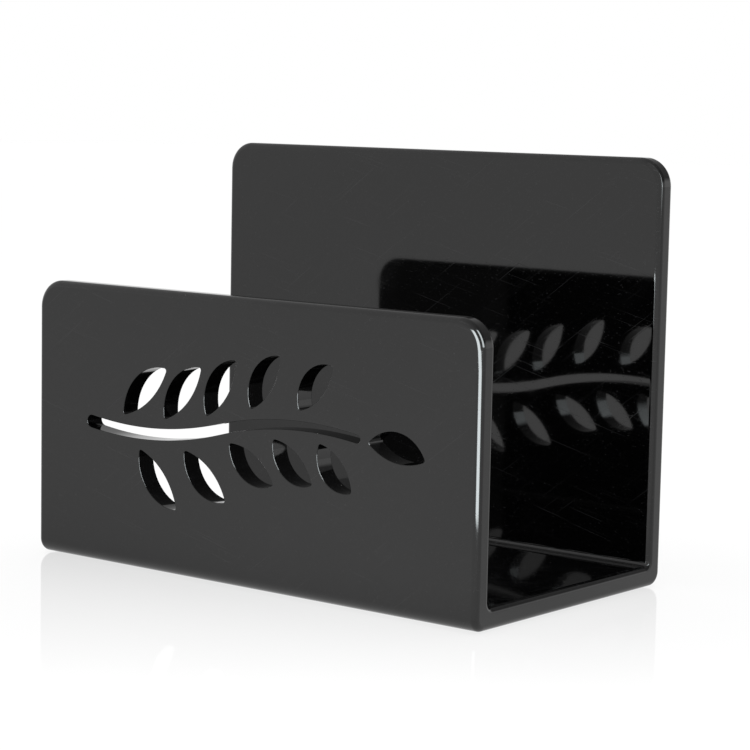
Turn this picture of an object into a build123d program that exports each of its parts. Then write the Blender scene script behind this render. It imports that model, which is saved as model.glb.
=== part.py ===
"""Free-standing letter holder: one thick gloss black body in a U shape, with a low front
panel, a floor and a taller back panel, and four thin grip pads set into its underside.

Frame: origin at the bottom centre, on the surface that the pads stand on. +X runs along
the width to the right, +Y to the back and +Z up. The front panel faces -Y. Millimetres.
"""

import os
from math import atan2, cos, radians, sin

from build123d import *

# ---- driving dimensions ---------------------------------------------------------------

# body: one wall of even thickness that turns up at the front and at the back
holder_width = 160.0
holder_depth = 88.0
front_height = 80.5
back_height = 120.0
wall = 6.0
outer_bend_radius = 4.0
inner_bend_radius = 1.5
panel_corner_radius = 8.0
rim_radius = 1.8

# grip pads, seated in round recesses in the underside and standing a little proud of it
pad_diameter = 12.0
pad_thickness = 1.4
pad_edge_break = 0.3
pad_inset_x = 16.0
pad_inset_y = 15.0
recess_depth = 1.0
recess_clearance = 0.15

# leaf sprig cut right through the front panel: a stem with a web of wall between it and each
# leaf; headings, the swing and the lean are in degrees, and heights are from the underside
stem_middle_x = -9.0
stem_middle_height = 43.5
stem_length = 99.0
stem_root_width = 3.6
stem_tip_width = 2.2
stem_start_heading = -9.0
stem_swing = 24.0
leaf_pairs = 5
first_leaf_length = 22.0
last_leaf_length = 16.5
end_leaf_length = 19.0
leaf_back_rise = 5.2
leaf_front_rise = 2.8
leaf_lean = 46.0
leaf_tip_radius = 0.7
first_leaf_place = 8.0
leaf_stagger = 7.0
web = 2.8
cut_overrun = 1.0

# ---- places worked out from them ------------------------------------------------------

underside = pad_thickness - recess_depth
floor_top = underside + wall
front_top = underside + front_height
back_top = underside + back_height
front_face = -holder_depth / 2
back_face = holder_depth / 2
pad_x = holder_width / 2 - pad_inset_x
pad_y = holder_depth / 2 - pad_inset_y

# the stem's centre line is an S of two equal arcs: it turns up to its middle, then down again
stem_radius = (stem_length / 2) / radians(stem_swing)
half_chord = 2 * stem_radius * sin(radians(stem_swing / 2))
chord_heading = radians(stem_start_heading + stem_swing / 2)
stem_start = (
    stem_middle_x - half_chord * cos(chord_heading),
    underside + stem_middle_height - half_chord * sin(chord_heading),
)
start_heading = radians(stem_start_heading)

with BuildLine() as stem:
    rising = JernArc(stem_start, (cos(start_heading), sin(start_heading)), stem_radius, stem_swing)
    JernArc(rising @ 1, rising % 1, stem_radius, -stem_swing)
stem_path = stem.wire()


def half_width_at(share):
    """Half the stem's width at a share of its length, narrowing evenly from root to tip."""
    return (stem_root_width + (stem_tip_width - stem_root_width) * share) / 2


def beside_stem(share, side):
    """Point on the stem's upper (+1) or lower (-1) edge."""
    along = stem_path.tangent_at(share)
    return stem_path.position_at(share) + Vector(-along.Y, along.X) * (side * half_width_at(share))


def stem_outline():
    """Tapered slot with round ends: two arcs along each edge and one at each end."""
    ThreePointArc(beside_stem(0, 1), beside_stem(0.25, 1), beside_stem(0.5, 1))
    ThreePointArc(beside_stem(0.5, 1), beside_stem(0.75, 1), beside_stem(1, 1))
    tip_end = stem_path.position_at(1) + stem_path.tangent_at(1) * half_width_at(1)
    ThreePointArc(beside_stem(1, 1), tip_end, beside_stem(1, -1))
    ThreePointArc(beside_stem(1, -1), beside_stem(0.75, -1), beside_stem(0.5, -1))
    ThreePointArc(beside_stem(0.5, -1), beside_stem(0.25, -1), beside_stem(0, -1))
    root_end = stem_path.position_at(0) - stem_path.tangent_at(0) * half_width_at(0)
    ThreePointArc(beside_stem(0, -1), root_end, beside_stem(0, 1))


def leaf_outline(root, heading, length, side):
    """Two arcs from root to tip, the fuller one on the side that faces back along the stem."""
    ahead = Vector(cos(heading), sin(heading))
    across = Vector(-sin(heading), cos(heading)) * side
    tip = root + ahead * length
    middle = root + ahead * (length / 2)
    ThreePointArc(root, middle + across * leaf_back_rise, tip)
    ThreePointArc(tip, middle - across * leaf_front_rise, root)


# leaves as (share of the stem, side, lean, length), in pairs that shrink towards the tip,
# with one more in line with the stem at its end
pair_pitch = (stem_length - first_leaf_place - leaf_stagger) / leaf_pairs
leaf_shrink = (first_leaf_length - last_leaf_length) / (2 * leaf_pairs - 1)
leaves = []
for pair in range(leaf_pairs):
    for order, side in enumerate((1, -1)):
        share = (first_leaf_place + pair * pair_pitch + order * leaf_stagger) / stem_length
        leaves.append((share, side, leaf_lean, first_leaf_length - (2 * pair + order) * leaf_shrink))
leaves.append((1, 1, 0, end_leaf_length))

# ---- body -----------------------------------------------------------------------------

with BuildPart() as holder_body:
    # U-shaped section, swept along the width
    with BuildSketch(Plane.YZ) as section:
        with BuildLine():
            Polyline(
                (front_face, underside),
                (back_face, underside),
                (back_face, back_top),
                (back_face - wall, back_top),
                (back_face - wall, floor_top),
                (front_face + wall, floor_top),
                (front_face + wall, front_top),
                (front_face, front_top),
                close=True,
            )
        make_face()
        fillet(section.vertices().group_by(Axis.Y)[1], inner_bend_radius)
        fillet(section.vertices().group_by(Axis.Y)[0], outer_bend_radius)
    extrude(amount=holder_width / 2, both=True)

    # rounded upper corners of both panels: the four short edges that run through the wall
    panel_corners = holder_body.edges().filter_by(Axis.Y).sort_by(SortBy.LENGTH)[:4]
    fillet(panel_corners, panel_corner_radius)

    # soft rim: the rounding starts at the back panel's top and runs round each tangent loop
    rim = holder_body.edges().filter_by(Axis.X).group_by(Axis.Z)[-1]
    fillet(rim, rim_radius)

    # leaf sprig through the front panel
    with BuildSketch(Plane.XZ.offset(holder_depth / 2 + cut_overrun)) as sprig:
        for share, side, lean, length in leaves:
            along = stem_path.tangent_at(share)
            heading = atan2(along.Y, along.X) + side * radians(lean)
            setback = (half_width_at(share) + web) / (sin(radians(lean)) if lean else 1)
            root = stem_path.position_at(share) + Vector(cos(heading), sin(heading)) * setback
            with BuildLine():
                leaf_outline(root, heading, length, side)
            make_face()
        fillet(sprig.vertices(), leaf_tip_radius)
        with BuildLine():
            stem_outline()
        make_face()
    extrude(amount=-(wall + 2 * cut_overrun), mode=Mode.SUBTRACT)

    # round recesses for the pads
    with BuildSketch(Plane.XY.offset(underside)):
        with GridLocations(2 * pad_x, 2 * pad_y, 2, 2):
            Circle(pad_diameter / 2 + recess_clearance)
    extrude(amount=recess_depth, mode=Mode.SUBTRACT)

os.makedirs("parts", exist_ok=True)
holder_body.part.label = "holder_body"
export_step(holder_body.part, "parts/holder_body.step")

# ---- grip pads ------------------------------------------------------------------------

pad_places = {
    "pad_front_left": (-pad_x, -pad_y),
    "pad_front_right": (pad_x, -pad_y),
    "pad_back_left": (-pad_x, pad_y),
    "pad_back_right": (pad_x, pad_y),
}

for pad_name, pad_place in pad_places.items():
    with BuildPart() as pad:
        with BuildSketch(Plane.XY):
            with Locations(pad_place):
                Circle(pad_diameter / 2)
        extrude(amount=pad_thickness)
        chamfer(pad.edges().group_by(Axis.Z)[0], pad_edge_break)
    pad.part.label = pad_name
    export_step(pad.part, "parts/" + pad_name + ".step")
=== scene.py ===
from math import atan2, cos, pi, radians, sin, sqrt

import bpy
from mathutils import Matrix, Vector
from mathutils.geometry import delaunay_2d_cdt


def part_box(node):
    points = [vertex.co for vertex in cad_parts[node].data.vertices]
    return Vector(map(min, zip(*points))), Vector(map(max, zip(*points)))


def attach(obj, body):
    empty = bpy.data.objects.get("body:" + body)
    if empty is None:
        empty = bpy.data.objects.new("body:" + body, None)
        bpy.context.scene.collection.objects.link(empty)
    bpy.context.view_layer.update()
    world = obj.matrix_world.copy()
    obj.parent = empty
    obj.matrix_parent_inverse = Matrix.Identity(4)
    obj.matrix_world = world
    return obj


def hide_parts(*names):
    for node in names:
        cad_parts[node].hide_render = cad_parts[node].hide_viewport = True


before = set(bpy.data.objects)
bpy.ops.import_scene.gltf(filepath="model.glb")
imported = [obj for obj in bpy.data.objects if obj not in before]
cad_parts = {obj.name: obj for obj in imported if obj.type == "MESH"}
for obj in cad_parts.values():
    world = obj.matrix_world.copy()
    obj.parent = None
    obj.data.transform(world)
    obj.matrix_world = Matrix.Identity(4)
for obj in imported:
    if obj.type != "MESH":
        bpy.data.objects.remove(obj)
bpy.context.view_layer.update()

# A desktop letter holder: one U-shaped body of gloss black plastic on four grip pads, which
# stands on a white table. All sizes are in metres, in the frame of the solids.

# ---- holder body: the flat blank ------------------------------------------------------
# The holder is one moulded piece of gloss black plastic with a wall of even thickness. It
# is drawn as a flat blank with a soft rim, and folded up at the front and the back below.
# A place on the blank is (x, run, depth): run goes along the outer skin from the middle of
# the floor to the back, and depth goes from the outer skin into the wall.

body_low, body_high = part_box("holder_body")
underside = body_low.z
half_width = body_high.x
half_depth = body_high.y
back_height = body_high.z - underside
front_height = 0.0805
wall = 0.006
outer_bend_radius = 0.004
inner_bend_radius = 0.0015
corner_radius = 0.008
rim_radius = 0.0018
bend_steps = 14
corner_steps = 20
rim_steps = 9

floor_run = half_depth - outer_bend_radius
bend_run = outer_bend_radius * pi / 2

skin_points = []
skin_normals = []
skin_rub = []
skin_faces = []


def panel_run(height):
    """Run at which a height above the underside lies on the outer skin of a panel."""
    return floor_run + bend_run + height - outer_bend_radius


def add_face(corners):
    """Adds a face, with its corners in the order that turns it the way its normals point."""
    first, second, third = (Vector(skin_points[corner]) for corner in corners[:3])
    facing = sum((Vector(skin_normals[corner]) for corner in corners), Vector())
    inside_out = (second - first).cross(third - second).dot(facing) < 0
    skin_faces.append(corners[::-1] if inside_out else corners)


def arc(centre, radius, start, sweep, steps, facing):
    """Points of an arc with their normals, which face away from its centre (1) or to it (-1)."""
    points = []
    for step in range(steps + 1):
        angle = start + sweep * step / steps
        across = Vector((cos(angle), sin(angle)))
        points.append((Vector(centre) + across * radius, across * facing))
    return points


def rounded_edge(radius, steps):
    """Section of an edge that goes through the wall and is rounded at both skins, as rows of
    inset, depth, the normal's share outwards and into the wall, and how much hands rub it."""
    outer_half = []
    for step in range(steps + 1):
        angle = pi / 2 * step / steps
        inset = radius * (1 - sin(angle))
        depth = radius * (1 - cos(angle))
        outer_half.append((inset, depth, sin(angle), -cos(angle), sin(2 * angle)))
    inner_half = [(inset, wall - depth, out, -inward, rub)
                  for inset, depth, out, inward, rub in reversed(outer_half)]
    return outer_half + inner_half


def sweep_section(outline, section):
    """Carries a section round a closed outline, and returns its first and its last ring."""
    rings = []
    for inset, depth, out, inward, rub in section:
        rings.append(list(range(len(skin_points), len(skin_points) + len(outline))))
        for point, normal in outline:
            skin_points.append((*(point - normal * inset), depth))
            skin_normals.append((*(normal * out), inward))
            skin_rub.append(rub)
    for ring, next_ring in zip(rings, rings[1:]):
        for place in range(len(outline)):
            add_face([ring[place - 1], ring[place], next_ring[place], next_ring[place - 1]])
    return rings[0], rings[-1]


def fill_flat(boundary, holes=()):
    """Fills the flat stretch of skin between a boundary and the rings of the holes in it."""
    rings = [boundary, *holes]
    members = [corner for ring in rings for corner in ring]
    places = [Vector(skin_points[corner][:2]) for corner in members]
    starts = [sum(len(ring) for ring in rings[:number]) for number in range(len(rings))]
    loops = [list(range(start, start + len(ring))) for start, ring in zip(starts, rings)]
    inside_with_holes = 2
    merge_distance = 1e-8
    _, _, triangles, origins, _, _ = delaunay_2d_cdt(
        places, [], loops, inside_with_holes, merge_distance)
    for triangle in triangles:
        add_face([members[origins[corner][0]] for corner in triangle])


# the blank's outline, anticlockwise from the right-hand end of the front bend: each side has
# a point on every row of the two bends, and each end has two round corners
bend_rows = [floor_run + bend_run * step / bend_steps for step in range(bend_steps + 1)]
rows = [-row for row in reversed(bend_rows)] + bend_rows
corner_x = half_width - corner_radius
back_corner = panel_run(back_height) - corner_radius
front_corner = corner_radius - panel_run(front_height)

blank_outline = [(Vector((half_width, row)), Vector((1, 0))) for row in rows]
blank_outline += arc((corner_x, back_corner), corner_radius, 0, pi / 2, corner_steps, 1)
blank_outline += arc((-corner_x, back_corner), corner_radius, pi / 2, pi / 2, corner_steps, 1)
left_start = len(blank_outline)
blank_outline += [(Vector((-half_width, row)), Vector((-1, 0))) for row in reversed(rows)]
blank_outline += arc((-corner_x, front_corner), corner_radius, pi, pi / 2, corner_steps, 1)
blank_outline += arc((corner_x, front_corner), corner_radius, 3 * pi / 2, pi / 2, corner_steps, 1)

# ---- holder body: the leaf sprig ------------------------------------------------------
# A stem and eleven leaves cut right through the front panel, each its own opening, with a
# web of wall between the stem and every leaf. The cut edges are crisp, only just broken.

stem_middle = Vector((-0.009, 0.0435))
stem_length = 0.099
stem_root_width = 0.0036
stem_tip_width = 0.0022
stem_start_heading = radians(-9)
stem_swing = radians(24)
leaf_pairs = 5
first_leaf_length = 0.022
last_leaf_length = 0.0165
end_leaf_length = 0.019
leaf_back_rise = 0.0052
leaf_front_rise = 0.0028
leaf_lean = radians(46)
leaf_tip_radius = 0.0007
first_leaf_place = 0.008
leaf_stagger = 0.007
web = 0.0028
cut_edge_break = 0.00025
cut_steps = 3
leaf_steps = 18
tip_steps = 8
stem_steps = 36


def direction(heading):
    """Unit step in the front panel's face, as (across, up), along a heading."""
    return Vector((cos(heading), sin(heading)))


def stem_at(share):
    """Point and heading of the stem's centre line, an S of two equal arcs, at a share of it."""
    radius = stem_length / 2 / stem_swing
    heading = stem_start_heading + stem_swing * (1 - abs(1 - 2 * share))
    middle_heading = stem_start_heading + stem_swing
    bow = Vector((sin(heading) - sin(middle_heading), cos(middle_heading) - cos(heading)))
    return stem_middle + bow * (radius if share < 0.5 else -radius), heading


def stem_half_width(share):
    """Half the stem's width, which narrows evenly from its root to its tip."""
    return (stem_root_width + (stem_tip_width - stem_root_width) * share) / 2


def stem_outline():
    """Outline of the stem: two long edges and two round ends, with normals into the opening."""
    shares = [step / stem_steps for step in range(stem_steps + 1)]
    outline = []
    for side, along in ((1, shares), (-1, shares[::-1])):
        for share in along:
            point, heading = stem_at(share)
            aside = direction(heading + pi / 2) * side
            outline.append((point + aside * stem_half_width(share), -aside))
        point, heading = stem_at(along[-1])
        quarter_before = heading + pi / 2 * side
        outline += arc(point, stem_half_width(along[-1]), quarter_before, -pi, tip_steps, -1)[1:-1]
    return outline


def leaf_outline(root, heading, length, side):
    """Outline of a leaf: a full arc on the side that faces back along the stem, a flatter one
    on the other, and small round tips inside both."""
    back_radius = (length**2 / 4 + leaf_back_rise**2) / (2 * leaf_back_rise)
    front_radius = (length**2 / 4 + leaf_front_rise**2) / (2 * leaf_front_rise)
    back_centre = leaf_back_rise - back_radius
    front_centre = front_radius - leaf_front_rise
    back_reach = back_radius - leaf_tip_radius
    front_reach = front_radius - leaf_tip_radius
    spread = back_centre**2 - front_centre**2 - back_reach**2 + front_reach**2
    tip_across = spread / (2 * (back_centre - front_centre))
    tip_along = sqrt(back_reach**2 - (tip_across - back_centre)**2)
    back_end = atan2(tip_across - back_centre, tip_along)
    front_end = atan2(tip_across - front_centre, tip_along)
    tip_sweep = back_end - front_end
    pieces = (
        arc((0, back_centre), back_radius, back_end, pi - 2 * back_end, leaf_steps, -1),
        arc((-tip_along, tip_across), leaf_tip_radius, pi - back_end, tip_sweep, tip_steps, -1),
        arc((0, front_centre), front_radius, pi - front_end, pi + 2 * front_end, leaf_steps, -1),
        arc((tip_along, tip_across), leaf_tip_radius, front_end, tip_sweep, tip_steps, -1),
    )
    ahead = direction(heading)
    across = direction(heading + pi / 2) * side
    middle = root + ahead * (length / 2)
    return [(middle + ahead * point.x + across * point.y, ahead * normal.x + across * normal.y)
            for piece in pieces for point, normal in piece[:-1]]


# leaves as (share of the stem, side, lean, length): pairs that shrink towards the tip, and
# one more at the end of the stem, in line with it
pair_pitch = (stem_length - first_leaf_place - leaf_stagger) / leaf_pairs
leaf_shrink = (first_leaf_length - last_leaf_length) / (2 * leaf_pairs - 1)
leaves = []
for pair in range(leaf_pairs):
    for order, side in enumerate((1, -1)):
        share = (first_leaf_place + pair * pair_pitch + order * leaf_stagger) / stem_length
        length = first_leaf_length - (2 * pair + order) * leaf_shrink
        leaves.append((share, side, leaf_lean, length))
leaves.append((1, 1, 0, end_leaf_length))

sprig = [stem_outline()]
for share, side, lean, length in leaves:
    point, stem_heading = stem_at(share)
    leaf_heading = stem_heading + side * lean
    setback = (stem_half_width(share) + web) / (sin(lean) if lean else 1)
    root = point + direction(leaf_heading) * setback
    sprig.append(leaf_outline(root, leaf_heading, length, side))

# on the blank, up the front panel is towards the front end
sprig_on_blank = [
    [(Vector((point.x, -panel_run(point.y))), Vector((normal.x, -normal.y)))
     for point, normal in outline]
    for outline in sprig
]

# ---- holder body: the pad recesses ----------------------------------------------------
# Four round, flat-bottomed recesses in the underside hold the grip pads in place. They are
# moulded with the body, with a small radius at the mouth and another at the bottom.

recess_radius = 0.00615
recess_depth = 0.001
recess_fillet = 0.0002
recess_steps = 4
recess_facets = 64
pad_nodes = ("pad_front_left", "pad_front_right", "pad_back_left", "pad_back_right")
pad_centres = [(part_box(node)[0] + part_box(node)[1]) / 2 for node in pad_nodes]

recess_section = rounded_edge(recess_fillet, recess_steps)[:recess_steps + 1]
for step in range(recess_steps + 1):
    angle = pi / 2 * step / recess_steps
    inset = recess_fillet * (cos(angle) - 1)
    depth = recess_depth - recess_fillet * (1 - sin(angle))
    recess_section.append((inset, depth, cos(angle), -sin(angle), 0))

recess_outlines = [arc(centre.xy, recess_radius, 0, 2 * pi, recess_facets, -1)[:-1]
                   for centre in pad_centres]

# ---- holder body: closing the skins ---------------------------------------------------
# The rim, the cut edges and the recesses are carried round their outlines, and the outer and
# the inner skin are filled between them: front panel, bend, floor, bend and back panel.

rim_rings = sweep_section(blank_outline, rounded_edge(rim_radius, rim_steps))
cut_edge = rounded_edge(cut_edge_break, cut_steps)
cut_rings = [sweep_section(outline, cut_edge) for outline in sprig_on_blank]
recess_rings = [sweep_section(outline, recess_section) for outline in recess_outlines]

for mouth, bottom in recess_rings:
    fill_flat(bottom)

outer, inner = 0, 1
for skin in (outer, inner):
    rim = rim_rings[skin]
    right = rim[:len(rows)]
    left = rim[left_start:left_start + len(rows)][::-1]
    front_panel = rim[left_start + len(rows) - 1:] + right[:1]
    back_panel = rim[len(rows) - 1:left_start + 1]
    fill_flat(front_panel, [rings[skin] for rings in cut_rings])
    fill_flat(back_panel)
    for row in range(len(rows) - 1):
        strip = [right[row], right[row + 1], left[row + 1], left[row]]
        if row == bend_steps and skin == outer:
            fill_flat(strip, [mouth for mouth, bottom in recess_rings])
        else:
            add_face(strip)

blank_mesh = bpy.data.meshes.new("flat_blank")
blank_mesh.from_pydata(skin_points, [], skin_faces)
normal_parts = [part for normal in skin_normals for part in normal]
blank_mesh.attributes.new("skin_normal", "FLOAT_VECTOR", "POINT").data.foreach_set("vector", normal_parts)
blank_mesh.attributes.new("edge_rub", "FLOAT", "POINT").data.foreach_set("value", skin_rub)


def new_object(name, data):
    """New object in the scene, at the origin."""
    made = bpy.data.objects.new(name, data)
    bpy.context.scene.collection.objects.link(made)
    return made


body = new_object("moulded_body", blank_mesh)

# ---- holder body: gloss black plastic -------------------------------------------------
# Deep black through and through, polished by the mould. Close to, it has the faint waves of
# a moulded skin, hairlines and a haze from handling, a duller rub along its edges and, on
# what faces up, a few specks of dust.

gloss_black = (0.0015, 0.0015, 0.0016, 1)
scuffed_black = (0.020, 0.020, 0.021, 1)
dust_grey = (0.16, 0.155, 0.145, 1)
plastic_ior = 1.5
cloud_range = (0.48, 0.72)
smudge_range = (0.42, 0.70)
haze_paleness = 0.2
hairline_length = 0.032
hairline_width = 0.0004
hairline_turns = ((0, radians(14), 0), (0, radians(-37), 0), (0, 0, radians(28)))
hairline_range = (0.66, 0.76)
hairline_depth = 0.0000006
wave_height = 0.0000022
upward_range = (0.25, 0.9)
polished_roughness = 0.035
haze_roughness = 0.035
hairline_roughness = 0.05
rub_roughness = 0.02
dust_roughness = 0.6


def add_node(tree, kind, inputs=(), **settings):
    """Adds a node with its settings, and gives its inputs values or other nodes' outputs."""
    node = tree.nodes.new(kind)
    for name, value in settings.items():
        setattr(node, name, value)
    for name, value in dict(inputs).items():
        if isinstance(value, bpy.types.NodeSocket):
            tree.links.new(value, node.inputs[name])
        else:
            node.inputs[name].default_value = value
    return node


def maths(tree, operation, *values):
    """Output of a Math node on one to three values."""
    return add_node(tree, "ShaderNodeMath", enumerate(values), operation=operation).outputs[0]


def spread_over(tree, value, source, target=(0, 1)):
    """Output of a node that maps the range source onto target, and stops at both ends."""
    inputs = enumerate((value, *source, *target))
    return add_node(tree, "ShaderNodeMapRange", inputs).outputs[0]


def mix_colours(tree, share, first, second):
    """Output of a Mix node between two colours, whose sockets are told apart by their number."""
    first_colour, second_colour, mixed = 6, 7, 2
    inputs = {0: share, first_colour: first, second_colour: second}
    return add_node(tree, "ShaderNodeMix", inputs, data_type="RGBA").outputs[mixed]


def noise(tree, place, inputs):
    """Output of a Noise Texture node at a place, with its other inputs by name."""
    return add_node(tree, "ShaderNodeTexNoise", {"Vector": place, **inputs}).outputs[0]


def bump(tree, height, distance, **settings):
    """Bump node at full strength, where a height of 1 stands for a distance in metres."""
    inputs = {"Strength": 1, "Distance": distance, "Height": height}
    return add_node(tree, "ShaderNodeBump", inputs, **settings)


def new_group(name, kind, inputs, outputs):
    """Empty node group; returns it, its input node's outputs and its output node's inputs."""
    group = bpy.data.node_groups.new(name, kind)
    for socket, holds in inputs.items():
        group.interface.new_socket(socket, in_out="INPUT", socket_type=holds)
    for socket, holds in outputs.items():
        group.interface.new_socket(socket, in_out="OUTPUT", socket_type=holds)
    input_node = group.nodes.new("NodeGroupInput")
    output_node = group.nodes.new("NodeGroupOutput")
    return group, input_node.outputs, output_node.inputs


# specks: single dots in a few of the cells of a fine cell pattern
speck_group, speck_in, speck_out = new_group(
    "scattered_specks", "ShaderNodeTree",
    {"Coordinates": "NodeSocketVector", "Cells Per Metre": "NodeSocketFloat",
     "Share Of Cells": "NodeSocketFloat", "Speck Radius": "NodeSocketFloat"},
    {"Specks": "NodeSocketFloat"})
cells = add_node(speck_group, "ShaderNodeTexVoronoi",
                 {"Vector": speck_in["Coordinates"], "Scale": speck_in["Cells Per Metre"]})
cell_draw = add_node(speck_group, "ShaderNodeSeparateColor", {"Color": cells.outputs["Color"]})
chosen = maths(speck_group, "LESS_THAN", cell_draw.outputs["Red"], speck_in["Share Of Cells"])
speck_size = maths(speck_group, "MULTIPLY", cell_draw.outputs["Green"], speck_in["Speck Radius"])
speck = maths(speck_group, "LESS_THAN", cells.outputs["Distance"], speck_size)
speck_group.links.new(maths(speck_group, "MULTIPLY", chosen, speck), speck_out["Specks"])

plastic = bpy.data.materials.new("gloss_black_plastic")
plastic.use_nodes = True
tree = plastic.node_tree
shader = tree.nodes["Principled BSDF"]
place = add_node(tree, "ShaderNodeTexCoord").outputs["Object"]

# haze from handling: broad clouds broken up by finger-sized smudges
clouds = noise(tree, place, {"Scale": 26, "Detail": 3, "Roughness": 0.55})
smudges = noise(tree, place, {"Scale": 120, "Detail": 4, "Roughness": 0.6, "Distortion": 0.8})
haze = maths(tree, "MULTIPLY", spread_over(tree, clouds, cloud_range),
             spread_over(tree, smudges, smudge_range))

# hairlines: noise drawn out along three directions, of which only the crests are kept; the
# first two run long on the panels, and the third on the floor
hairlines = 0
for turn in hairline_turns:
    drawn_out = add_node(tree, "ShaderNodeMapping", {
        "Vector": place, "Rotation": turn,
        "Scale": (hairline_length, hairline_width, hairline_width)}, vector_type="TEXTURE")
    streaks = noise(tree, drawn_out.outputs[0], {"Scale": 1, "Detail": 1})
    hairlines = maths(tree, "MAXIMUM", spread_over(tree, streaks, hairline_range), hairlines)

# dust: specks on what faces up
specks = add_node(tree, "ShaderNodeGroup", {
    "Coordinates": place, "Cells Per Metre": 900, "Share Of Cells": 0.035, "Speck Radius": 0.16},
    node_tree=speck_group).outputs["Specks"]
facing = add_node(tree, "ShaderNodeNewGeometry").outputs["Normal"]
facing_up = add_node(tree, "ShaderNodeSeparateXYZ", {"Vector": facing}).outputs["Z"]
dust = maths(tree, "MULTIPLY", specks, spread_over(tree, facing_up, upward_range))

marks = maths(tree, "MAXIMUM", maths(tree, "MULTIPLY", haze, haze_paleness), hairlines)
marked_black = mix_colours(tree, marks, gloss_black, scuffed_black)
tree.links.new(mix_colours(tree, dust, marked_black, dust_grey), shader.inputs["Base Color"])

rub = add_node(tree, "ShaderNodeAttribute", attribute_name="edge_rub").outputs["Fac"]
roughness = polished_roughness
for mark, added in ((haze, haze_roughness), (hairlines, hairline_roughness),
                    (rub, rub_roughness), (dust, dust_roughness)):
    roughness = maths(tree, "MULTIPLY_ADD", mark, added, roughness)
tree.links.new(roughness, shader.inputs["Roughness"])

waves = bump(tree, noise(tree, place, {"Scale": 140, "Detail": 1}), wave_height)
scratched = bump(tree, hairlines, hairline_depth, invert=True)
tree.links.new(waves.outputs[0], scratched.inputs["Normal"])
tree.links.new(scratched.outputs[0], shader.inputs["Normal"])
shader.inputs["IOR"].default_value = plastic_ior

# ---- holder body: the fold ------------------------------------------------------------
# The blank is turned up through a right angle at both ends of the floor. Each skin turns on
# its own radius, as moulded, so the centre of the turn shifts with depth between the two, and
# a stretch at each side of the bend eases in the difference between the skins' lengths.

fold_sizes = {
    "Underside": underside,
    "Half Depth": half_depth,
    "Wall": wall,
    "Rim Radius": rim_radius,
    "Outer Bend Radius": outer_bend_radius,
    "Inner Bend Radius": inner_bend_radius,
    "Ease Length": 0.010,
}

fold, fold_in, fold_out = new_group(
    "fold_blank", "GeometryNodeTree",
    {"Blank": "NodeSocketGeometry", **dict.fromkeys(fold_sizes, "NodeSocketFloat")},
    {"Body": "NodeSocketGeometry"})

blank_place = add_node(fold, "ShaderNodeSeparateXYZ",
                       {"Vector": add_node(fold, "GeometryNodeInputPosition").outputs[0]}).outputs
end = maths(fold, "SIGN", blank_place["Y"])
run = maths(fold, "ABSOLUTE", blank_place["Y"])
depth = blank_place["Z"]

# centre of the turn: as far from both outer faces as this depth's radius plus the depth
inner_centre = maths(fold, "ADD", fold_in["Wall"], fold_in["Inner Bend Radius"])
inner_rim = maths(fold, "SUBTRACT", fold_in["Wall"], fold_in["Rim Radius"])
centre = spread_over(fold, depth, (fold_in["Rim Radius"], inner_rim),
                     (fold_in["Outer Bend Radius"], inner_centre))
radius = maths(fold, "SUBTRACT", centre, depth)

bend_start = maths(fold, "SUBTRACT", fold_in["Half Depth"], fold_in["Outer Bend Radius"])
bend_end = maths(fold, "MULTIPLY_ADD", fold_in["Outer Bend Radius"], pi / 2, bend_start)
ease_start = maths(fold, "SUBTRACT", bend_start, fold_in["Ease Length"])
ease_end = maths(fold, "ADD", bend_end, fold_in["Ease Length"])
turned = spread_over(fold, run, (bend_start, bend_end), (0, pi / 2))

# along the floor up to the centre of the turn
centre_from_middle = maths(fold, "SUBTRACT", fold_in["Half Depth"], centre)
floor_ease = spread_over(fold, run, (ease_start, bend_start),
                         (0, maths(fold, "SUBTRACT", centre_from_middle, ease_start)))
along_floor = maths(fold, "ADD", maths(fold, "MINIMUM", run, ease_start), floor_ease)

# up the panel from the centre of the turn
eased_height = maths(fold, "ADD", fold_in["Outer Bend Radius"], fold_in["Ease Length"])
panel_ease = spread_over(fold, run, (bend_end, ease_end), (centre, eased_height))
beyond_ease = maths(fold, "MAXIMUM", maths(fold, "SUBTRACT", run, ease_end), 0)
up_panel = maths(fold, "ADD", panel_ease, beyond_ease)

folded_y = maths(fold, "MULTIPLY_ADD", radius, maths(fold, "SINE", turned), along_floor)
dropped = maths(fold, "MULTIPLY", radius, maths(fold, "COSINE", turned))
folded_z = maths(fold, "SUBTRACT", up_panel, dropped)
folded_place = add_node(fold, "ShaderNodeCombineXYZ", {
    "X": blank_place["X"],
    "Y": maths(fold, "MULTIPLY", end, folded_y),
    "Z": maths(fold, "ADD", fold_in["Underside"], folded_z)})
flat_normal = add_node(fold, "GeometryNodeInputNamedAttribute", {"Name": "skin_normal"},
                       data_type="FLOAT_VECTOR")
folded_normal = add_node(fold, "ShaderNodeVectorRotate",
                         {"Vector": flat_normal.outputs[0], "Angle": maths(fold, "MULTIPLY", end, turned)},
                         rotation_type="X_AXIS")

with_normals = add_node(
    fold, "GeometryNodeStoreNamedAttribute",
    {"Geometry": fold_in["Blank"], "Name": "skin_normal", "Value": folded_normal.outputs[0]},
    data_type="FLOAT_VECTOR", domain="POINT")
folded = add_node(fold, "GeometryNodeSetPosition",
                  {"Geometry": with_normals.outputs[0], "Position": folded_place.outputs[0]})
realized = add_node(fold, "GeometryNodeRealizeInstances", {"Geometry": folded.outputs[0]})
finished = add_node(fold, "GeometryNodeSetMaterial",
                    {"Geometry": realized.outputs[0], "Material": plastic})
fold.links.new(finished.outputs[0], fold_out["Body"])


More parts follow.
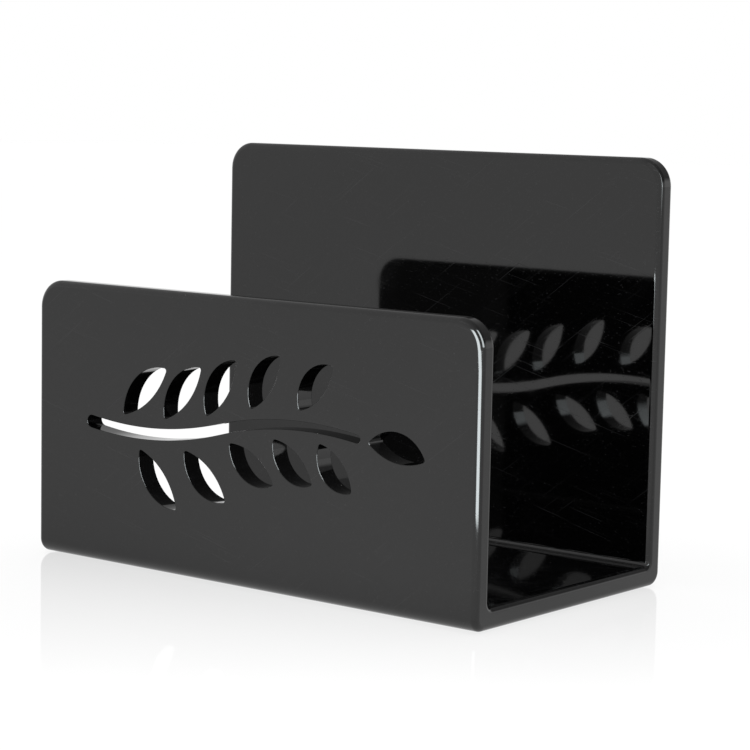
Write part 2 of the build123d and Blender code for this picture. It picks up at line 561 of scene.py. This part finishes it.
def run_nodes(piece, tree, sizes):
    """Runs a node tree on a piece with its named sizes, and keeps the result as a plain mesh."""
    modifier = piece.modifiers.new(tree.name, "NODES")
    modifier.node_group = tree
    for socket in tree.interface.items_tree:
        if socket.name in sizes:
            modifier[socket.identifier] = sizes[socket.name]
    evaluated = piece.evaluated_get(bpy.context.evaluated_depsgraph_get())
    made = bpy.data.meshes.new_from_object(evaluated)
    piece.modifiers.remove(modifier)
    piece.data = made


run_nodes(body, fold, fold_sizes)
body.data.name = body.name
body.data.shade_smooth()
folded_normals = [item.vector for item in body.data.attributes["skin_normal"].data]
body.data.normals_split_custom_set_from_vertices(folded_normals)
body.data.attributes.remove(body.data.attributes["skin_normal"])
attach(body, "root")
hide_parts("holder_body")

# ---- grip pads ------------------------------------------------------------------------
# Four round rubber pads keep the holder from sliding. Each is punched out of a matte black
# sheet, glued into its recess and stands a little proud of the underside.

pad_low, pad_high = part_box("pad_front_left")
pad_sizes = {
    "Pad Radius": (pad_high.x - pad_low.x) / 2,
    "Pad Thickness": pad_high.z - pad_low.z,
    "Edge Radius": 0.00025,
    "Spacing X": pad_centres[1].x - pad_centres[0].x,
    "Spacing Y": pad_centres[2].y - pad_centres[0].y,
}
pad_facets = 72
pad_edge_steps = 4
rubber_black = (0.016, 0.016, 0.0165, 1)
worn_rubber = (0.060, 0.060, 0.061, 1)
# near-black colour of the pores' pits: painted shade in the pores
painted_pore_shade = (0.004, 0.004, 0.004, 1)
worn_range = (0.8, 1.3)
pore_range = (0.12, 0.30)
mottle_range = (0.3, 0.7)
rubber_roughness = (0.72, 0.88)
pore_depth = 0.8
grain_height = 0.00002

rubber = bpy.data.materials.new("matte_black_rubber")
rubber.use_nodes = True
tree = rubber.node_tree
shader = tree.nodes["Principled BSDF"]
place = add_node(tree, "ShaderNodeTexCoord").outputs["Object"]
grain = noise(tree, place, {"Scale": 3800, "Detail": 2})
mottle = noise(tree, place, {"Scale": 420, "Detail": 3})
pores = add_node(tree, "ShaderNodeTexVoronoi", {"Vector": place, "Scale": 1900}).outputs["Distance"]
# mask of the pores' pits: it darkens their colour as painted shade, and it also sets their real relief in
# the bump
pits_and_painted_shade = spread_over(tree, pores, pore_range, (1, 0))
lint = add_node(tree, "ShaderNodeGroup", {
    "Coordinates": place, "Cells Per Metre": 1500, "Share Of Cells": 0.05, "Speck Radius": 0.2},
    node_tree=speck_group).outputs["Specks"]
worn = spread_over(tree, maths(tree, "ADD", mottle, grain), worn_range)
# the rubber's tone, with the pits of the pores painted darker: painted shade in the pores
shade = mix_colours(tree, pits_and_painted_shade, mix_colours(tree, worn, rubber_black, worn_rubber), painted_pore_shade)
tree.links.new(mix_colours(tree, lint, shade, dust_grey), shader.inputs["Base Color"])
tree.links.new(spread_over(tree, mottle, mottle_range, rubber_roughness), shader.inputs["Roughness"])
relief = bump(tree, maths(tree, "MULTIPLY_ADD", pits_and_painted_shade, -pore_depth, grain), grain_height)
tree.links.new(relief.outputs[0], shader.inputs["Normal"])

pads, pads_in, pads_out = new_group(
    "set_pads", "GeometryNodeTree",
    dict.fromkeys(pad_sizes, "NodeSocketFloat"), {"Pads": "NodeSocketGeometry"})

# half of the pad's section, from the middle of its foot round the edge to the middle of its
# top; its two corners off the axis are rounded
foot_edge = add_node(pads, "ShaderNodeCombineXYZ", {"X": pads_in["Pad Radius"]})
top_edge = add_node(pads, "ShaderNodeCombineXYZ",
                    {"X": pads_in["Pad Radius"], "Z": pads_in["Pad Thickness"]})
top_middle = add_node(pads, "ShaderNodeCombineXYZ", {"Z": pads_in["Pad Thickness"]})
half_section = add_node(pads, "GeometryNodeCurvePrimitiveQuadrilateral", {
    "Point 1": (0, 0, 0), "Point 2": foot_edge.outputs[0],
    "Point 3": top_edge.outputs[0], "Point 4": top_middle.outputs[0]}, mode="POINTS")
point_place = add_node(pads, "GeometryNodeInputPosition").outputs[0]
off_axis = add_node(pads, "ShaderNodeSeparateXYZ", {"Vector": point_place}).outputs["X"]
at_edge = maths(pads, "GREATER_THAN", off_axis, pads_in["Edge Radius"])
edge_round = add_node(pads, "GeometryNodeFilletCurve", {
    "Curve": half_section.outputs[0], "Radius": maths(pads, "MULTIPLY", at_edge, pads_in["Edge Radius"]),
    "Count": pad_edge_steps}, mode="POLY")
section_wire = add_node(pads, "GeometryNodeCurveToMesh", {"Curve": edge_round.outputs[0]})
section_size = add_node(pads, "GeometryNodeAttributeDomainSize", {"Geometry": section_wire.outputs[0]})

# a grid with a column for each point of the section is rolled round the pad's axis; its points
# are numbered column by column
column_length = pad_facets + 1
sheet = add_node(pads, "GeometryNodeMeshGrid",
                 {"Vertices X": section_size.outputs["Point Count"], "Vertices Y": column_length})
index = add_node(pads, "GeometryNodeInputIndex").outputs[0]
facet = maths(pads, "MODULO", index, column_length)
column = maths(pads, "DIVIDE", maths(pads, "SUBTRACT", index, facet), column_length)
on_section = add_node(pads, "GeometryNodeSampleIndex", {
    "Geometry": section_wire.outputs[0], "Value": point_place, "Index": column},
    data_type="FLOAT_VECTOR", domain="POINT")
about_axis = add_node(pads, "ShaderNodeVectorRotate", {
    "Vector": on_section.outputs[0], "Angle": maths(pads, "MULTIPLY", facet, -2 * pi / pad_facets)},
    rotation_type="Z_AXIS")
rolled = add_node(pads, "GeometryNodeSetPosition",
                  {"Geometry": sheet.outputs[0], "Position": about_axis.outputs[0]})
merge_distance = 0.000001
closed = add_node(pads, "GeometryNodeMergeByDistance",
                  {"Geometry": rolled.outputs[0], "Distance": merge_distance})
smooth_pad = add_node(pads, "GeometryNodeSetShadeSmooth", {"Geometry": closed.outputs[0]})

# one pad at each corner of a rectangle
four_places = add_node(pads, "GeometryNodeMeshGrid", {
    "Size X": pads_in["Spacing X"], "Size Y": pads_in["Spacing Y"], "Vertices X": 2, "Vertices Y": 2})
set_pads = add_node(pads, "GeometryNodeInstanceOnPoints",
                    {"Points": four_places.outputs[0], "Instance": smooth_pad.outputs[0]})
realized = add_node(pads, "GeometryNodeRealizeInstances", {"Geometry": set_pads.outputs[0]})
finished = add_node(pads, "GeometryNodeSetMaterial",
                    {"Geometry": realized.outputs[0], "Material": rubber})
pads.links.new(finished.outputs[0], pads_out["Pads"])

grip_pads = new_object("grip_pads", bpy.data.meshes.new("grip_pads"))
run_nodes(grip_pads, pads, pad_sizes)
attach(grip_pads, "root")
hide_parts(*pad_nodes)

# ---- floor ----------------------------------------------------------------------------
# A plain white table top with a soft polish: the holder is mirrored faintly in it, less and
# less towards the camera. It is seen as white, and it keeps a soft shadow round the holder.
# What the plastic mirrors of it is brightest in front of the holder, and dimmer all round.

floor_half_size = 4.0
seen_level = 0.90
level_before = 0.95
level_behind = 0.68
bright_heading = Vector((0.3, -0.954, 0))
bright_range = (0.2, 0.7)
middle_radius = 0.1
paint_grey = (0.15, 0.15, 0.15, 1)
mirror_colour = (1, 1, 1, 1)
mirror_roughness = 0.03
mirror_at_holder = 0.28
mirror_heading = Vector((0.624, -0.7815, 0))
mirror_range = (-0.016, 0.155)


def dot(tree, first, second):
    """Output of a node that multiplies two vectors into one number."""
    inputs = {0: first, 1: second}
    return add_node(tree, "ShaderNodeVectorMath", inputs, operation="DOT_PRODUCT").outputs["Value"]


def mixed_shader(tree, share, first, second):
    """Output of a Mix Shader node."""
    return add_node(tree, "ShaderNodeMixShader", enumerate((share, first, second))).outputs[0]


def ray_kinds(tree):
    """Two outputs: 1 for a ray from the camera, and 1 for one that is mirrored or refracted."""
    light_path = add_node(tree, "ShaderNodeLightPath").outputs
    mirrored = maths(tree, "MAXIMUM", light_path["Is Glossy Ray"], light_path["Is Transmission Ray"])
    return light_path["Is Camera Ray"], mirrored


floor_mesh = bpy.data.meshes.new("table_top")
floor_mesh.from_pydata(
    [(x * floor_half_size, y * floor_half_size, 0) for x, y in ((-1, -1), (1, -1), (1, 1), (-1, 1))],
    [], [(0, 1, 2, 3)])
table_white = bpy.data.materials.new("polished_white")
table_white.use_nodes = True
tree = table_white.node_tree
tree.nodes.clear()
seen, mirrored = ray_kinds(tree)
place = add_node(tree, "ShaderNodeTexCoord").outputs["Object"]
reach = maths(tree, "SQRT", maths(tree, "ADD", dot(tree, place, place), middle_radius**2))
in_front = maths(tree, "DIVIDE", dot(tree, place, bright_heading), reach)
mirrored_level = spread_over(tree, in_front, bright_range, (level_behind, level_before))
level = maths(tree, "MULTIPLY_ADD", seen, seen_level, maths(tree, "MULTIPLY", mirrored, mirrored_level))
glow = add_node(tree, "ShaderNodeEmission", {"Strength": level})
paint = add_node(tree, "ShaderNodeBsdfDiffuse", {"Color": paint_grey})
lit = add_node(tree, "ShaderNodeAddShader", {0: glow.outputs[0], 1: paint.outputs[0]})
mirror = add_node(tree, "ShaderNodeBsdfGlossy", {"Color": mirror_colour, "Roughness": mirror_roughness})
towards_camera = dot(tree, place, mirror_heading)
mirror_share = spread_over(tree, towards_camera, mirror_range, (mirror_at_holder, 0))
topside = mixed_shader(tree, maths(tree, "MULTIPLY", mirror_share, seen), lit.outputs[0], mirror.outputs[0])

# clear from below, so that the underside can be looked at
from_below = add_node(tree, "ShaderNodeNewGeometry").outputs["Backfacing"]
clear = add_node(tree, "ShaderNodeBsdfTransparent")
both_sides = mixed_shader(tree, from_below, topside, clear.outputs[0])
add_node(tree, "ShaderNodeOutputMaterial", {"Surface": both_sides})
floor_mesh.materials.append(table_white)
new_object("table_top", floor_mesh)

# ---- light ----------------------------------------------------------------------------
# A white surround, one wide soft lamp overhead, and two bent softboxes round the near corner.
# The plastic mirrors the surround as white at table height and dimmer above and behind, and
# the softboxes draw the two bright lines down the front panel's right edge.

surround_white = (1, 1, 1, 1)
surround_light = 0.7
band_range = (0.17, 0.34)
ahead_heading = Vector((-0.5, -0.866, 0))
ahead_range = (-0.7, 0.9)
ahead_level = 0.95
behind_level = 0.25
overhead_place = (0, -0.1, 0.9)
overhead_size = 0.9
overhead_power = 3.0
softbox_tint = (0.91, 0.98, 1.0, 1)
flag_white = (1, 1, 1, 1)
flag_glow = 1
flag_right = 0.32
flag_top = 0.40
flag_gap = 0.003
flag_lift = 0.0016
flag_overlap = 0.025

world = bpy.data.worlds.new("white_surround")
bpy.context.scene.world = world
world.use_nodes = True
tree = world.node_tree
seen, mirrored = ray_kinds(tree)
way = add_node(tree, "ShaderNodeTexCoord").outputs["Generated"]
climb = add_node(tree, "ShaderNodeSeparateXYZ", {"Vector": way}).outputs["Z"]
band = spread_over(tree, climb, band_range, (1, 0))
above_band = spread_over(tree, dot(tree, way, ahead_heading), ahead_range, (behind_level, ahead_level))
mirrored_level = maths(tree, "MULTIPLY", mirrored, maths(tree, "MAXIMUM", band, above_band))
unseen = maths(tree, "SUBTRACT", 1, maths(tree, "MAXIMUM", mirrored, seen))
level = maths(tree, "MULTIPLY_ADD", unseen, surround_light, maths(tree, "MAXIMUM", mirrored_level, seen))
surround = tree.nodes["Background"]
surround.inputs["Color"].default_value = surround_white
tree.links.new(level, surround.inputs["Strength"])

overhead_lamp = bpy.data.lights.new("overhead_softbox", "AREA")
overhead_lamp.size = overhead_size
overhead_lamp.energy = overhead_power
overhead = new_object("overhead_softbox", overhead_lamp)
overhead.location = overhead_place
overhead.visible_camera = False
overhead.visible_glossy = False


def mirrored_card(name, points, faces, fades, glow, tint):
    """Glowing card that only shows as a reflection, from its front, and fades where told."""
    mesh = bpy.data.meshes.new(name)
    mesh.from_pydata(points, [], faces)
    mesh.attributes.new("fade", "FLOAT", "POINT").data.foreach_set("value", fades)
    material = bpy.data.materials.new(name)
    material.use_nodes = True
    tree = material.node_tree
    tree.nodes.clear()
    fade = add_node(tree, "ShaderNodeAttribute", attribute_name="fade").outputs["Fac"]
    behind = add_node(tree, "ShaderNodeNewGeometry").outputs["Backfacing"]
    share = maths(tree, "MULTIPLY", fade, maths(tree, "SUBTRACT", 1, behind))
    clear = add_node(tree, "ShaderNodeBsdfTransparent")
    light = add_node(tree, "ShaderNodeEmission", {"Color": tint, "Strength": glow})
    surface = mixed_shader(tree, share, clear.outputs[0], light.outputs[0])
    add_node(tree, "ShaderNodeOutputMaterial", {"Surface": surface})
    mesh.materials.append(material)
    card = new_object(name, mesh)
    card.visible_camera = False
    card.visible_diffuse = False
    card.visible_shadow = False


def bent_softbox(name, radius, glow, rows):
    """Softbox bent round the near corner's upright line: rows of height, the azimuths of both
    ends, in degrees from the front towards the right, and how far the row is faded in."""
    shares = (-0.1, 0.1, 0.3, 0.5, 0.7, 0.9, 1.1)
    points = []
    fades = []
    for height, left, right, fade in rows:
        for share in shares:
            azimuth = radians(left + (right - left) * share)
            points.append((half_width + radius * sin(azimuth), -half_depth - radius * cos(azimuth), height))
            fades.append(fade if 0 < share < 1 else 0)
    faces = [(start, start + len(shares), start + len(shares) + 1, start + 1)
             for row in range(len(rows) - 1)
             for start in range(row * len(shares), (row + 1) * len(shares) - 1)]
    mirrored_card(name, points, faces, fades, glow, softbox_tint)


bent_softbox("front_softbox", radius=0.13, glow=17.8, rows=(
    (0.003, 45, 70, 0), (0.008, 18, 65, 1), (0.053, 10, 57, 1), (0.060, -13, 37, 1),
    (0.070, -18, 28, 1), (0.105, -20, 23, 1), (0.150, -4, 7, 1), (0.160, 0, 4, 0)))
bent_softbox("right_softbox", radius=0.30, glow=14.0, rows=(
    (0.09, 70, 98, 0), (0.11, 67, 97, 1), (0.22, 63, 92, 1), (0.37, 55, 89, 1),
    (0.54, 48, 82, 1), (0.60, 50, 80, 0)))

# a white card behind the front panel's face keeps the softboxes out of the rest of the holder:
# it stands beside the holder, and above the front panel it reaches a little way over it
flag_y = rim_radius - half_depth
flag_left = half_width + flag_gap
over_left = half_width - flag_overlap
over_foot = underside + front_height + flag_lift
flag_points = [
    (flag_left, flag_y, 0), (flag_right, flag_y, 0),
    (flag_right, flag_y, flag_top), (flag_left, flag_y, flag_top),
    (over_left, flag_y, flag_top), (over_left, flag_y, over_foot), (flag_left, flag_y, over_foot)]
flag_faces = [(0, 6, 3, 2, 1), (6, 5, 4, 3)]
flag_fades = [1] * len(flag_points)
mirrored_card("white_flag", flag_points, flag_faces, flag_fades, flag_glow, flag_white)

# ---- camera ---------------------------------------------------------------------------
# A long lens a little above the table, to the right of the front panel and rolled slightly.

view_azimuth = radians(38.533)
view_elevation = radians(6.698)
view_roll = radians(1.159)
view_aim = Vector((0.026543, -0.019875, 0.060288))
view_distance = 0.650371
lens_length = 114.506
sensor_width = 36.0

level_back = Vector((sin(view_azimuth), -cos(view_azimuth), 0))
level_right = Vector((cos(view_azimuth), sin(view_azimuth), 0))
back = level_back * cos(view_elevation) + Vector((0, 0, sin(view_elevation)))
level_up = back.cross(level_right)
right = level_right * cos(view_roll) + level_up * sin(view_roll)
up = level_up * cos(view_roll) - level_right * sin(view_roll)
camera_data = bpy.data.cameras.new("view_camera")
camera_data.sensor_width = sensor_width
camera_data.lens = lens_length
camera = new_object("view_camera", camera_data)
view_turn = Matrix((right, up, back)).transposed().to_4x4()
camera.matrix_world = Matrix.Translation(view_aim + back * view_distance) @ view_turn
bpy.context.scene.camera = camera
bpy.context.scene.view_settings.view_transform = "Standard"
